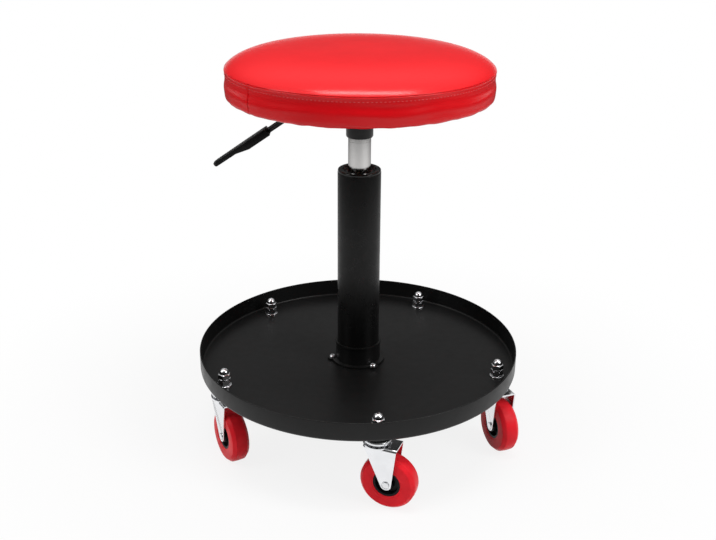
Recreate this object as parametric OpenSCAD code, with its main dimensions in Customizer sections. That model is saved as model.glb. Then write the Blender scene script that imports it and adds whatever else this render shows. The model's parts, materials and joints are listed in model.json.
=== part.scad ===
// Round rolling work seat: a padded seat on a gas lift and a steel column, over a tool tray on
// five casters. Units are millimetres. The origin is on the column's axis at floor level, +Z points
// up, and the release lever points along -X.

/* [Seat] */
// Largest diameter of the covered seat
seat_d = 301; // [260:1:340]
// Height of the cover's side band
band_h = 32; // [26:0.5:45]
// Rise of the crown above the top seam
crown_h = 18.5; // [8:0.5:26]
// Thickness of the vinyl cover
cover_t = 1.2; // [0.8:0.1:2]
// Width of the padded roll outside the plywood board
board_in = 10.5; // [6:0.5:24]
// Thickness of the plywood board
board_t = 12; // [9:0.5:16]
// Side of the square mounting plate
plate_w = 150; // [120:1:170]
// Thickness of the mounting plate
plate_t = 2.5; // [2:0.1:4]
// Distance between neighbouring plate bolts
bolt_gap = 112; // [90:1:124]

/* [Lift] */
// Diameter of the gas cylinder
cylinder_d = 26; // [24:0.5:27.5]
// Bright cylinder that shows between the column and the hub
cylinder_show = 37.8; // [36:0.1:60]
// Travel of the seat above its rest height
lift_up = 90; // [40:1:100]
// Travel of the seat below its rest height
lift_down = 25; // [10:1:30]
// Diameter of the piston rod
rod_d = 10; // [8:0.5:11]
// Outer diameter of the taper hub under the seat
hub_d = 30.8; // [30.4:0.2:36]
// Height of the taper hub
hub_h = 46; // [44:0.5:60]

/* [Column] */
// Outer diameter of the column tube
column_d = 50; // [46:0.5:60]
// Length of the column tube
column_h = 239; // [220:0.5:300]
// Wall of the column tube
column_wall = 1.8; // [1.5:0.1:3]
// Height of the socket that holds the column
socket_h = 25.5; // [15:0.5:40]

/* [Tray] */
// Outer diameter of the tray
tray_d = 383; // [372:1:430]
// Outer height of the tray
tray_h = 23.5; // [18:0.5:50]
// Thickness of the tray's sheet
tray_t = 1.5; // [1.2:0.1:2.5]
// Distance from the tray's edge to the caster stems
stem_in = 20.5; // [18:0.5:40]

/* [Casters] */
// Diameter of a wheel
wheel_d = 64; // [50:1:76]
// Width of a wheel's tread
wheel_w = 21; // [18:0.5:26]
// Distance from the stem's axis to the axle
trail = 14; // [8:0.5:20]
// Thickness of the fork's sheet
fork_t = 1.8; // [1.5:0.1:3]
// Diameter of the stem's thread
stem_d = 8; // [6:0.5:10]

/* [Lever] */
// Diameter of the lever's rod
lever_d = 6.5; // [5:0.1:7]
// Slope of the lever's outer part below level, in degrees
lever_slope = 34.5; // [24:0.5:38]
// Length of the lever's outer part, from its bend to its tip
lever_reach = 121; // [110:1:150]
// Length of the plastic grip
grip_l = 75; // [68:1:80]
// Width of the plastic grip
grip_w = 16; // [13:0.5:22]

/* [Hidden] */
$fn = 96;

// Overrun of every cut past the face that it opens
over = 1;
// Overlap that joins two shapes of one piece
weld = 0.05;
// Radial clearance of a running fit
fit = 0.05;
// Gap between faces that turn or slide past each other
run_gap = 0.1;
// Gap between a soft piece and what it covers
soft_gap = 0.2;

// Direction of each caster's stem from the column, and the way in which its wheel trails the stem
stem_dirs = [61.5, 133, 205, 277.5, 345];
trail_dirs = [105, 150, -60, -21, -69];
stem_count = len(stem_dirs);
tray_r = tray_d / 2;
stem_r = tray_r - stem_in;

// Wheel, from the axle outwards
axle_d = 6;
axle_head_d = 7.8;
axle_head_h = 1.6;
axle_well_d = 9.6;
axle_well_h = 0.8;
core_d = 31.5;
core_hub_d = 14;
core_rim_t = 2.6;
core_web_t = 9;
core_edge = 0.8;
shoulder = 4;
tread_lip_t = 1.5;
tread_dish = 0.4;
hub_side_gap = 0.2;
hub_proud = 0.5;
hub_w = wheel_w + 2 * hub_proud;

// Fork
wheel_room = 11.2;
leg_front = 12.6;
leg_back = 11.4;
leg_tip_r = 6.2;
plate_r = 16.2;
fork_bend_r = 3.5;
fork_in = hub_w / 2 + hub_side_gap;
fork_out = fork_in + fork_t;
fork_low = wheel_d + wheel_room;
fork_top = fork_low + fork_t;

// Stem, bearing cup and ball ring
king_d = 10;
head_d = 18;
head_h = 2.5;
stem_washer_t = 1.4;
caster_ball_d = 4.7;
ball_count = 12;
ball_ring_r = 11;
cup_r = 15.5;
cup_t = 2;
cup_skirt_t = 1.4;
cup_skirt_h = 4.2;
cup_corner = 1.2;
spacer_af = 15;
spacer_h = 4.7;
cup_low = fork_top + caster_ball_d + 2 * fit;
cup_top = cup_low + cup_t;
tray_low = cup_top + spacer_h;
tray_floor = tray_low + tray_t;

// Tray
tray_bend_r = 4;
tray_rim_z = tray_low + tray_h;
access_d = 24;
stem_hole_gap = 0.4;

// Nut stack over each caster stem
washer_d = 17;
washer_t = 1.6;
nut_af = 13;
nut_h = 6.5;
lock_d = 14.6;
lock_t = 2;
lock_slot = 1.2;
cap_hex_h = 5.6;
cap_dome_d = 11.4;
cap_neck_h = 0.6;
cap_bore_h = 6.5;
nut_low = tray_floor + washer_t;
lock_low = nut_low + nut_h;
cap_low = lock_low + lock_t;

// Column, its socket and its floor
column_r = column_d / 2;
column_in = column_r - column_wall;
column_top = tray_floor + column_h;
socket_t = 1.8;
socket_lip = 0.8;
socket_bead = 2.2;
flange_t = 2.4;
flange_w = 5.2;
ear_r = 6;
ear_out = 6.2;
ear_first = 185;
ear_step = 120;
ear_count = 3;
screw_d = 4.8;
screw_head_d = 8.4;
screw_head_h = 2.6;
screw_nut_af = 8;
screw_nut_h = 3.8;
screw_tail = 1.4;
socket_r = column_r + socket_t;
flange_r = socket_r + flange_w;
ear_at = column_r + ear_out;
column_floor_t = 2.5;
column_floor_lift = 4;
column_floor_z = tray_floor + column_floor_lift;
column_floor_top = column_floor_z + column_floor_t;

// Guide bush in the column's mouth
bush_h = 80;
bush_lip_h = 3.2;
bush_lip_in = 0.3;
bush_funnel_h = 7;
bush_funnel_w = 6.5;
bush_top = column_top + bush_lip_h;

// Thrust bearing and bumper round the rod's foot
race_t = 2.2;
race_d = 23;
thrust_ball_d = 3.9;
thrust_ball_count = 10;
thrust_ring_r = 8.4;
bumper_d = 22;
bumper_h = 10.5;
bumper_waist = 1.5;
stop_gap = 4;
foot_step = 1;
foot_d = rod_d - 2 * foot_step;
clip_d = 14;
clip_t = 1.5;
clip_depth = 0.7;
clip_mouth = 5;
rod_tail = 1.2;
race_top = column_floor_top + race_t;
upper_race_z = race_top + thrust_ball_d + 2 * fit;
upper_race_top = upper_race_z + race_t;
bumper_top = upper_race_top + bumper_h;
clip_z = column_floor_z - run_gap - clip_t;
rod_low = clip_z - rod_tail;

// Gas cylinder, gland, valve body and piston
cylinder_r = cylinder_d / 2;
cylinder_wall = 1.5;
cylinder_in = cylinder_r - cylinder_wall;
taper_l = 21.5;
taper_drop = 0.7;
hub_low = bush_top + cylinder_show;
hub_top = hub_low + hub_h;
hub_bevel = 1.4;
hub_seat_gap = 0.02;
cylinder_top = hub_low + taper_l;
cylinder_low = bumper_top + stop_gap + lift_down;
gland_h = 18;
valve_h = 20;
piston_h = 12;
piston_gap = 0.1;
piston_spare = 3;
piston_z = cylinder_low + gland_h + lift_up + piston_spare;

// Seat stack over the hub
plate_z = hub_top;
plate_corner = 14;
board_z = plate_z + plate_t;
board_top = board_z + board_t;
bolt_d = 6;
bolt_af = 10;
bolt_head_h = 4;
bolt_washer_d = 12.5;
bolt_washer_t = 1.6;
bolt_hole_gap = 0.3;
tnut_barrel_d = 7.8;
tnut_barrel_h = 8;
tnut_flange_d = 19;
tnut_flange_t = 1.2;
bolt_spots = [for (sx = [-1, 1], sy = [-1, 1]) [sx, sy] * bolt_gap / 2];

// Cover and foam
seat_r = seat_d / 2;
band_bulge = 1.5;
edge_r = 6;
hem_w = 22;
crown_power = 5;
crown_steps = 16;
band_steps = 8;
edge_steps = 6;
seat_low = board_z - cover_t;
seam_z = seat_low + band_h + cover_t / 2;
seam_r = seat_r - band_bulge;
board_r = seat_r - board_in;
hem_r = board_r - hem_w;
staple_count = 24;
staple_l = 10;
staple_w = 1.2;
staple_t = 0.6;
staple_in = 7;

// Lever, its pivot and the valve pin
lever_r = lever_d / 2;
lever_drop = 14;
lever_z = plate_z - lever_drop;
pivot_x = -22;
pivot_d = 4;
lever_tail = 3;
bend_x = -65;
bend_r = 15;
elbow_lap = 1;
boss_d = 9;
ear_t = 2;
ear_gap = 0.3;
boss_w = 9.8;
bracket_front = 7;
bracket_back = 5;
bracket_low = 5;
pin_head_d = 6.4;
pin_head_h = 1;
slot_room = 3.5;
slot_w = 10.4;
valve_pin_d = 5;
valve_pin_tip_d = 2.4;
valve_pin_bevel = 1;
valve_pin_gap = 0.5;
valve_pin_sunk = 12;
bracket_in = boss_w / 2 + ear_gap;
bracket_out = bracket_in + ear_t;
valve_pin_top = lever_z - lever_r - valve_pin_gap;

// Grip, along the lever's outer part from its bend
grip_top_h = 4.6;
grip_boss_h = 4.4;
grip_tip_h = 0.6;
grip_boss_l = 29;
grip_slant_l = 16;
grip_tip_w = 12;
grip_bore_l = 28;
grip_nose_r = 2.6;
grip_start = lever_reach - grip_l;

// Point where the line from p touches the circle of centre c and radius r, on the side given
function tangent_point(p, c, r, side) =
    let (v = c - p, l = norm(v), a = atan2(v[1], v[0]) + side * asin(r / l))
    p + sqrt(l * l - r * r) * [cos(a), sin(a)];

// Height of the crown over the seam, for a share of the seam's radius
function crown_rise(share, h) = h * sqrt(1 - pow(share, crown_power));

// Closed half outline of the padded seat, drawn in by d from the cover's outer face
function seat_outline(d) = concat(
    [[0, seat_low + d]],
    [for (i = [0 : edge_steps])
        let (a = -90 + 90 * i / edge_steps, r = edge_r - d)
        [seam_r - edge_r + r * cos(a), seat_low + edge_r + r * sin(a)]],
    [for (i = [1 : band_steps - 1])
        let (t = i / band_steps)
        [seam_r - d + band_bulge * sin(180 * t), seat_low + edge_r + t * (seam_z - seat_low - edge_r)]],
    [for (i = [0 : crown_steps])
        let (share = cos(90 * i / crown_steps))
        [(seam_r - d) * share, seam_z + crown_rise(share, crown_h - d)]]
);

module ring(r_out, r_in, h) {
    difference() {
        cylinder(r = r_out, h = h);
        translate([0, 0, -over]) cylinder(r = r_in, h = h + 2 * over);
    }
}

// Hexagonal prism of a given width across its flats
module hex(af, h) {
    cylinder(d = af / cos(30), h = h, $fn = 6);
}

// Round shaft along +Y, centred on the origin
module cross_shaft(d, l) {
    rotate([90, 0, 0]) cylinder(d = d, h = l, center = true);
}

// Rounded square of side w, with corner radius r
module round_square(w, r) {
    square([w, w - 2 * r], center = true);
    square([w - 2 * r, w], center = true);
    for (x = [-1, 1], y = [-1, 1]) translate([x, y] * (w / 2 - r)) circle(r = r);
}

// Places its children at a caster's stem, not swivelled
module at_stem(i) {
    rotate(stem_dirs[i - 1]) translate([stem_r, 0, 0]) children();
}

module at_stems() {
    for (i = [1 : stem_count]) at_stem(i) children();
}

// Places its children at a caster's stem, with +X along the way the wheel trails
module at_caster(i) {
    a = stem_dirs[i - 1];
    translate([stem_r * cos(a), stem_r * sin(a), 0]) rotate(trail_dirs[i - 1]) children();
}

module at_ears() {
    for (i = [0 : ear_count - 1]) rotate(ear_first + ear_step * i) translate([ear_at, 0, 0]) children();
}

module at_bolts() {
    for (p = bolt_spots) translate(p) children();
}

// Tray, column and what is fixed to them

module tray_outline() {
    r = tray_r;
    b = tray_bend_r;
    translate([0, tray_low]) square([r - b, tray_t]);
    translate([r - tray_t, tray_low + b]) square([tray_t, tray_h - b]);
    intersection() {
        translate([r - b, tray_low + b]) difference() {
            circle(r = b);
            circle(r = b - tray_t);
        }
        translate([r - b, tray_low]) square([b, b]);
    }
}

module tray() {
    color([0.09, 0.09, 0.09]) difference() {
        rotate_extrude() tray_outline();
        translate([0, 0, tray_low - over]) cylinder(d = access_d, h = tray_t + 2 * over);
        at_stems() translate([0, 0, tray_low - over])
            cylinder(d = stem_d + stem_hole_gap, h = tray_t + 2 * over);
        at_ears() translate([0, 0, tray_low - over]) cylinder(d = screw_d, h = tray_t + 2 * over);
    }
}

module column_socket() {
    color([0.07, 0.07, 0.07]) translate([0, 0, tray_floor]) difference() {
        union() {
            cylinder(r = socket_r, h = socket_h);
            translate([0, 0, socket_h - socket_bead]) cylinder(r = socket_r + socket_lip, h = socket_bead);
            cylinder(r = flange_r, h = flange_t);
            at_ears() cylinder(r = ear_r, h = flange_t);
        }
        translate([0, 0, -over]) cylinder(r = column_r, h = socket_h + 2 * over);
        at_ears() translate([0, 0, -over]) cylinder(d = screw_d, h = flange_t + 2 * over);
    }
}

module socket_screws() {
    head_z = tray_floor + flange_t;
    tail = flange_t + tray_t + screw_nut_h + screw_tail;
    color([0.8, 0.8, 0.82]) at_ears() {
        translate([0, 0, head_z - tail]) cylinder(d = screw_d, h = tail + weld);
        translate([0, 0, head_z]) intersection() {
            cylinder(d = screw_head_d, h = screw_head_h);
            translate([0, 0, screw_head_h - screw_head_d]) sphere(r = screw_head_d);
        }
    }
}

module socket_nuts() {
    color([0.7, 0.7, 0.72]) at_ears() translate([0, 0, tray_low - screw_nut_h]) difference() {
        hex(screw_nut_af, screw_nut_h);
        translate([0, 0, -over]) cylinder(d = screw_d, h = screw_nut_h + 2 * over);
    }
}

module column_tube() {
    color([0.06, 0.06, 0.06]) translate([0, 0, tray_floor]) ring(column_r, column_in, column_h);
}

module column_floor() {
    color([0.5, 0.5, 0.52]) translate([0, 0, column_floor_z])
        ring(column_in, foot_d / 2 + fit, column_floor_t);
}

module column_bush() {
    color([0.03, 0.03, 0.03]) difference() {
        union() {
            translate([0, 0, column_top - bush_h]) cylinder(r = column_in, h = bush_h + weld);
            translate([0, 0, column_top]) cylinder(r = column_r - bush_lip_in, h = bush_lip_h);
        }
        translate([0, 0, column_top - bush_h - over])
            cylinder(r = cylinder_r + fit, h = bush_h + bush_lip_h + 2 * over);
        translate([0, 0, bush_top - bush_funnel_h])
            cylinder(r1 = cylinder_r + fit, r2 = cylinder_r + bush_funnel_w, h = bush_funnel_h);
        translate([0, 0, bush_top - weld]) cylinder(r = cylinder_r + bush_funnel_w, h = over);
    }
}

module lower_race() {
    color([0.75, 0.75, 0.77]) translate([0, 0, column_floor_top])
        ring(race_d / 2, foot_d / 2 + fit + run_gap, race_t);
}

// Caster stems with their heads, bearing cups, balls and nuts

module caster_stems() {
    washer_low = fork_low - run_gap - stem_washer_t;
    color([0.72, 0.72, 0.74]) at_stems() {
        translate([0, 0, washer_low - head_h]) cylinder(d = head_d, h = head_h);
        translate([0, 0, washer_low - weld]) cylinder(d = king_d, h = cup_top - washer_low + weld);
        translate([0, 0, cup_top - weld]) cylinder(d = stem_d, h = cap_low + cap_bore_h - cup_top + weld);
    }
}

module stem_washers() {
    color([0.9, 0.9, 0.85]) at_stems() translate([0, 0, fork_low - run_gap - stem_washer_t])
        ring(head_d / 2, king_d / 2, stem_washer_t);
}

module race_cups() {
    color([0.85, 0.85, 0.87]) at_stems() translate([0, 0, cup_top]) rotate_extrude() {
        translate([king_d / 2, -cup_t]) square([cup_r - cup_corner - king_d / 2, cup_t]);
        translate([cup_r - cup_corner, -cup_corner]) circle(r = cup_corner);
        translate([cup_r - cup_skirt_t, -cup_skirt_h]) square([cup_skirt_t, cup_skirt_h - cup_corner]);
    }
}

module caster_balls() {
    color([0.8, 0.8, 0.82]) at_stems() for (k = [1 : ball_count]) rotate(360 * k / ball_count)
        translate([ball_ring_r, 0, fork_top + fit + caster_ball_d / 2]) sphere(d = caster_ball_d);
}

module spacer_nuts() {
    color([0.7, 0.7, 0.72]) at_stems() translate([0, 0, cup_top]) difference() {
        hex(spacer_af, spacer_h);
        translate([0, 0, -over]) cylinder(d = stem_d, h = spacer_h + 2 * over);
    }
}

module flat_washers() {
    color([0.8, 0.8, 0.82]) at_stems() translate([0, 0, tray_floor])
        ring(washer_d / 2, stem_d / 2, washer_t);
}

module hex_nuts() {
    color([0.78, 0.78, 0.8]) at_stems() translate([0, 0, nut_low]) difference() {
        hex(nut_af, nut_h);
        translate([0, 0, -over]) cylinder(d = stem_d, h = nut_h + 2 * over);
    }
}

module lock_washers() {
    color([0.75, 0.75, 0.77]) at_stems() translate([0, 0, lock_low]) difference() {
        ring(lock_d / 2, stem_d / 2, lock_t);
        translate([stem_d / 2 - over, -lock_slot / 2, -over])
            cube([lock_d / 2, lock_slot, lock_t + 2 * over]);
    }
}

module cap_nuts() {
    dome_z = cap_hex_h + cap_neck_h;
    color([0.9, 0.9, 0.92]) at_stems() translate([0, 0, cap_low]) difference() {
        union() {
            hex(nut_af, cap_hex_h);
            cylinder(d = cap_dome_d, h = dome_z);
            translate([0, 0, dome_z]) intersection() {
                sphere(d = cap_dome_d);
                translate([0, 0, -weld]) cylinder(d = cap_dome_d, h = cap_dome_d);
            }
        }
        translate([0, 0, -over]) cylinder(d = stem_d, h = cap_bore_h + over);
    }
}

// Rod, piston and thrust bearing

module piston_rod() {
    color([0.85, 0.85, 0.87]) difference() {
        union() {
            translate([0, 0, rod_low]) cylinder(d = foot_d, h = piston_z + piston_h - rod_low);
            translate([0, 0, upper_race_top]) cylinder(d = rod_d, h = piston_z - upper_race_top);
        }
        translate([0, 0, clip_z]) ring(foot_d / 2 + over, foot_d / 2 - clip_depth, clip_t);
    }
}

module piston() {
    color([0.7, 0.7, 0.72]) translate([0, 0, piston_z]) difference() {
        cylinder(r = cylinder_in - piston_gap, h = piston_h);
        translate([0, 0, -over]) cylinder(d = foot_d, h = piston_h + 2 * over);
    }
}

module rod_clip() {
    color([0.6, 0.6, 0.62]) translate([0, 0, clip_z]) difference() {
        ring(clip_d / 2, foot_d / 2 - clip_depth, clip_t);
        translate([0, -clip_mouth / 2, -over]) cube([clip_d, clip_mouth, clip_t + 2 * over]);
    }
}

module upper_race() {
    color([0.75, 0.75, 0.77]) translate([0, 0, upper_race_z]) ring(race_d / 2, foot_d / 2, race_t);
}

module thrust_balls() {
    color([0.8, 0.8, 0.82]) for (k = [1 : thrust_ball_count]) rotate(360 * k / thrust_ball_count)
        translate([thrust_ring_r, 0, race_top + fit + thrust_ball_d / 2]) sphere(d = thrust_ball_d);
}

module bumper() {
    r = bumper_d / 2;
    color([0.12, 0.12, 0.12]) translate([0, 0, upper_race_top]) rotate_extrude()
        polygon([[rod_d / 2, 0], [r, 0], [r - bumper_waist, bumper_h / 2], [r, bumper_h],
            [rod_d / 2, bumper_h]]);
}

// Cylinder, hub and seat

module gas_cylinder() {
    color([0.82, 0.82, 0.84]) rotate_extrude() polygon([[cylinder_in, cylinder_low],
        [cylinder_r, cylinder_low], [cylinder_r, hub_low], [cylinder_r - taper_drop, cylinder_top],
        [cylinder_in, cylinder_top]]);
}

module rod_gland() {
    color([0.15, 0.15, 0.15]) translate([0, 0, cylinder_low]) ring(cylinder_in, rod_d / 2 + fit, gland_h);
}

module valve_body() {
    color([0.6, 0.6, 0.55]) translate([0, 0, cylinder_top - valve_h])
        ring(cylinder_in, valve_pin_d / 2 + fit, valve_h);
}

module taper_hub() {
    r = hub_d / 2;
    bore = cylinder_r + hub_seat_gap;
    color([0.05, 0.05, 0.05]) difference() {
        rotate_extrude() polygon([[bore, hub_low], [r - hub_bevel / 2, hub_low], [r, hub_low + hub_bevel],
            [r, hub_top], [bore - taper_drop, hub_top], [bore - taper_drop, cylinder_top]]);
        translate([-hub_d, -slot_w / 2, lever_z - lever_r - slot_room])
            cube([hub_d, slot_w, lever_d + 2 * slot_room]);
    }
}

module seat_plate() {
    color([0.08, 0.08, 0.08]) translate([0, 0, plate_z]) difference() {
        linear_extrude(plate_t) round_square(plate_w, plate_corner);
        at_bolts() translate([0, 0, -over]) cylinder(d = bolt_d + bolt_hole_gap, h = plate_t + 2 * over);
    }
}

module plate_bolts() {
    shank = bolt_washer_t + plate_t + board_t;
    color([0.75, 0.75, 0.77]) at_bolts() translate([0, 0, plate_z - bolt_washer_t]) {
        translate([0, 0, -bolt_head_h]) hex(bolt_af, bolt_head_h);
        translate([0, 0, -weld]) cylinder(d = bolt_d, h = shank + weld);
    }
}

module plate_washers() {
    color([0.8, 0.8, 0.82]) at_bolts() translate([0, 0, plate_z - bolt_washer_t])
        ring(bolt_washer_d / 2, bolt_d / 2, bolt_washer_t);
}

module board_tnuts() {
    color([0.75, 0.75, 0.7]) at_bolts() {
        translate([0, 0, board_top - tnut_barrel_h])
            ring(tnut_barrel_d / 2, bolt_d / 2, tnut_barrel_h + weld);
        translate([0, 0, board_top]) ring(tnut_flange_d / 2, bolt_d / 2, tnut_flange_t);
    }
}

module seat_board() {
    color([0.72, 0.55, 0.35]) translate([0, 0, board_z]) difference() {
        cylinder(r = board_r, h = board_t);
        at_bolts() {
            translate([0, 0, -over]) cylinder(d = bolt_d + bolt_hole_gap, h = board_t + 2 * over);
            translate([0, 0, board_t - tnut_barrel_h]) cylinder(d = tnut_barrel_d, h = tnut_barrel_h + over);
        }
    }
}

module seat_foam() {
    color([0.93, 0.88, 0.7]) difference() {
        rotate_extrude() polygon(seat_outline(cover_t + soft_gap));
        translate([0, 0, board_z - over]) cylinder(r = board_r, h = board_t + over);
        at_bolts() translate([0, 0, board_top - over])
            cylinder(d = tnut_flange_d, h = tnut_flange_t + over);
    }
}

module seat_cover() {
    color([0.8, 0.03, 0.06]) difference() {
        rotate_extrude() polygon(seat_outline(0));
        rotate_extrude() polygon(seat_outline(cover_t));
        translate([0, 0, seat_low - over]) cylinder(r = hem_r, h = cover_t + 2 * over);
    }
}

module cover_staples() {
    color([0.8, 0.8, 0.8]) for (k = [1 : staple_count]) rotate(360 * k / staple_count)
        translate([hem_r + staple_in, -staple_l / 2, seat_low - staple_t])
            cube([staple_w, staple_l, staple_t]);
}

// Lever, pivot and valve pin

module lever_bracket() {
    l = bracket_front + bracket_back;
    h = lever_drop + bracket_low;
    color([0.1, 0.1, 0.1]) difference() {
        union() {
            translate([pivot_x - bracket_front, -bracket_out, plate_z - ear_t])
                cube([l, 2 * bracket_out, ear_t]);
            for (y = [-bracket_out, bracket_in])
                translate([pivot_x - bracket_front, y, plate_z - h]) cube([l, ear_t, h]);
        }
        translate([pivot_x, 0, lever_z]) cross_shaft(pivot_d, 2 * bracket_out + 2 * over);
    }
}

module pivot_pin() {
    color([0.75, 0.75, 0.77]) translate([pivot_x, 0, lever_z]) {
        cross_shaft(pivot_d, 2 * bracket_out);
        for (s = [-1, 1]) translate([0, s * (bracket_out + pin_head_h / 2), 0])
            cross_shaft(pin_head_d, pin_head_h);
    }
}

module valve_pin() {
    low = cylinder_top - valve_pin_sunk;
    shoulder_z = valve_pin_top - valve_pin_bevel;
    color([0.85, 0.85, 0.8]) rotate_extrude() polygon([[0, low], [valve_pin_d / 2, low],
        [valve_pin_d / 2, shoulder_z], [valve_pin_tip_d / 2, valve_pin_top], [0, valve_pin_top]]);
}

module lever_rod() {
    run = bend_r * tan(lever_slope / 2);
    straight = grip_start + grip_bore_l - run;
    color([0.07, 0.07, 0.07]) difference() {
        union() {
            translate([bend_x + run, 0, lever_z]) rotate([0, 90, 0])
                cylinder(r = lever_r, h = lever_tail - bend_x - run);
            translate([bend_x + run, 0, lever_z - bend_r]) rotate([90, 0, 0]) rotate(90 - elbow_lap)
                rotate_extrude(angle = lever_slope + 2 * elbow_lap)
                    translate([bend_r, 0]) circle(r = lever_r + weld);
            translate([bend_x, 0, lever_z]) rotate([0, -90 - lever_slope, 0])
                translate([0, 0, run]) cylinder(r = lever_r, h = straight);
            translate([pivot_x, 0, lever_z]) cross_shaft(boss_d, boss_w);
        }
        translate([pivot_x, 0, lever_z]) cross_shaft(pivot_d + 2 * fit, boss_w + 2 * over);
    }
}

// Side view of the grip: +X runs out along the lever and +Y points to its underside
module grip_side() {
    x0 = grip_start;
    x1 = x0 + grip_boss_l;
    x2 = x1 + grip_slant_l;
    x3 = lever_reach - grip_nose_r;
    nose_y = grip_tip_h - grip_nose_r;
    polygon([[x0, -grip_top_h], [x3, -grip_top_h], [x3, grip_tip_h], [x2, grip_tip_h],
        [x1, grip_boss_h], [x0, grip_boss_h]]);
    translate([x3, nose_y]) circle(r = grip_nose_r);
}

// Plan of the grip
module grip_plan() {
    x0 = grip_start;
    x1 = x0 + grip_boss_l;
    tip = lever_reach - grip_tip_w / 2;
    polygon([[x0, -grip_w / 2], [x1, -grip_w / 2], [tip, -grip_tip_w / 2], [tip, grip_tip_w / 2],
        [x1, grip_w / 2], [x0, grip_w / 2]]);
    translate([tip, 0]) circle(d = grip_tip_w);
}

module lever_grip() {
    depth = grip_top_h + grip_boss_h;
    color([0.04, 0.04, 0.04]) translate([bend_x, 0, lever_z]) rotate([0, 180 - lever_slope, 0])
        difference() {
            intersection() {
                translate([0, grip_w / 2, 0]) rotate([90, 0, 0]) linear_extrude(grip_w) grip_side();
                translate([0, 0, -depth]) linear_extrude(2 * depth) grip_plan();
            }
            translate([grip_start - over, 0, 0]) rotate([0, 90, 0])
                cylinder(r = lever_r, h = grip_bore_l + over);
        }
}

// Swivel fork and wheel of one caster

// Side view of a fork leg, seen along the axle
module leg_outline() {
    c = [trail, wheel_d / 2];
    front = [-leg_front, fork_top];
    back = [trail + leg_back, fork_top];
    polygon([front, back, tangent_point(back, c, leg_tip_r, 1), c, tangent_point(front, c, leg_tip_r, -1)]);
    translate(c) circle(r = leg_tip_r);
}

// Section of the fork across its legs, with rounded top corners
module fork_section() {
    w = 2 * fork_out;
    r = fork_bend_r;
    translate([-fork_out, 0]) square([w, fork_top - r]);
    translate([r - fork_out, 0]) square([w - 2 * r, fork_top]);
    for (s = [-1, 1]) translate([s * (fork_out - r), fork_top - r]) circle(r = r);
}

module fork(i) {
    reach = trail + leg_back;
    color([0.83, 0.84, 0.85]) at_caster(i) difference() {
        union() {
            intersection() {
                union() {
                    translate([-leg_front, -fork_out, fork_low])
                        cube([leg_front + reach, 2 * fork_out, fork_t]);
                    for (y = [-fork_in, fork_out]) translate([0, y, 0]) rotate([90, 0, 0])
                        linear_extrude(fork_t) leg_outline();
                }
                translate([-2 * leg_front, 0, 0]) rotate([90, 0, 90])
                    linear_extrude(3 * leg_front + reach) fork_section();
            }
            translate([0, 0, fork_low]) cylinder(r = plate_r, h = fork_t);
        }
        translate([0, 0, fork_low - over]) cylinder(d = king_d + 2 * fit, h = fork_t + 2 * over);
        translate([trail, 0, wheel_d / 2]) {
            cross_shaft(axle_d, 2 * fork_out + 2 * over);
            for (s = [-1, 1]) translate([0, s * (fork_out + over / 2 - axle_well_h / 2), 0])
                cross_shaft(axle_well_d, axle_well_h + over);
        }
    }
}

module at_axle(i) {
    at_caster(i) translate([trail, 0, wheel_d / 2]) rotate([90, 0, 0]) children();
}

module axle(i) {
    head_at = fork_out - axle_well_h;
    color([0.8, 0.8, 0.82]) at_axle(i) {
        cylinder(d = axle_d, h = 2 * head_at + weld, center = true);
        for (s = [-1, 1]) translate([0, 0, s * (head_at + axle_head_h / 2)])
            cylinder(d = axle_head_d, h = axle_head_h, center = true);
    }
}

module wheel_core(i) {
    r = core_d / 2;
    b = axle_d / 2 + fit;
    color([0.05, 0.05, 0.05]) at_axle(i) rotate_extrude() {
        translate([b, -hub_w / 2]) square([core_hub_d / 2 - b, hub_w]);
        translate([b, -core_web_t / 2]) square([r - b, core_web_t]);
        translate([r - core_rim_t, core_edge - wheel_w / 2]) square([core_rim_t, wheel_w - 2 * core_edge]);
    }
}

// Half section of the tread: flat running face, bevelled shoulders and a shallow dish on each side
module tread_section() {
    r = wheel_d / 2;
    c = core_d / 2;
    h = wheel_w / 2;
    lip = c + tread_lip_t;
    polygon([[c, -h + tread_dish], [lip, -h + tread_dish], [lip + tread_dish, -h],
        [r - shoulder, -h], [r, shoulder - h], [r, h - shoulder], [r - shoulder, h],
        [lip + tread_dish, h], [lip, h - tread_dish], [c, h - tread_dish]]);
}

module wheel_tread(i) {
    color([0.8, 0.05, 0.08]) at_axle(i) rotate_extrude() tread_section();
}

tray();
column_socket();
socket_screws();
socket_nuts();
column_tube();
column_floor();
column_bush();
lower_race();
caster_stems();
stem_washers();
race_cups();
caster_balls();
spacer_nuts();
flat_washers();
hex_nuts();
lock_washers();
cap_nuts();
piston_rod();
piston();
rod_clip();
upper_race();
thrust_balls();
bumper();
gas_cylinder();
rod_gland();
valve_body();
taper_hub();
seat_plate();
plate_bolts();
plate_washers();
board_tnuts();
seat_board();
seat_foam();
seat_cover();
cover_staples();
lever_bracket();
pivot_pin();
valve_pin();
lever_rod();
lever_grip();
fork(1);  // fork_1
fork(2);  // fork_2
fork(3);  // fork_3
fork(4);  // fork_4
fork(5);  // fork_5
wheel_core(1);  // wheel_core_1
wheel_core(2);  // wheel_core_2
wheel_core(3);  // wheel_core_3
wheel_core(4);  // wheel_core_4
wheel_core(5);  // wheel_core_5
wheel_tread(1);  // wheel_tread_1
wheel_tread(2);  // wheel_tread_2
wheel_tread(3);  // wheel_tread_3
wheel_tread(4);  // wheel_tread_4
wheel_tread(5);  // wheel_tread_5
axle(1);  // axle_1
axle(2);  // axle_2
axle(3);  // axle_3
axle(4);  // axle_4
axle(5);  // axle_5
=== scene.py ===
"""Looks of a round rolling work seat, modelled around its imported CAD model.

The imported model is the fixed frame. Sizes come from it, and each finished piece rides on one of its
bodies. Everything is in metres. +Z points up, the release lever points along -X, and the camera
looks along +Y.
"""

import json
from math import atan2, copysign, cos, exp, pi, radians, sin, sqrt, tan

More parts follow.
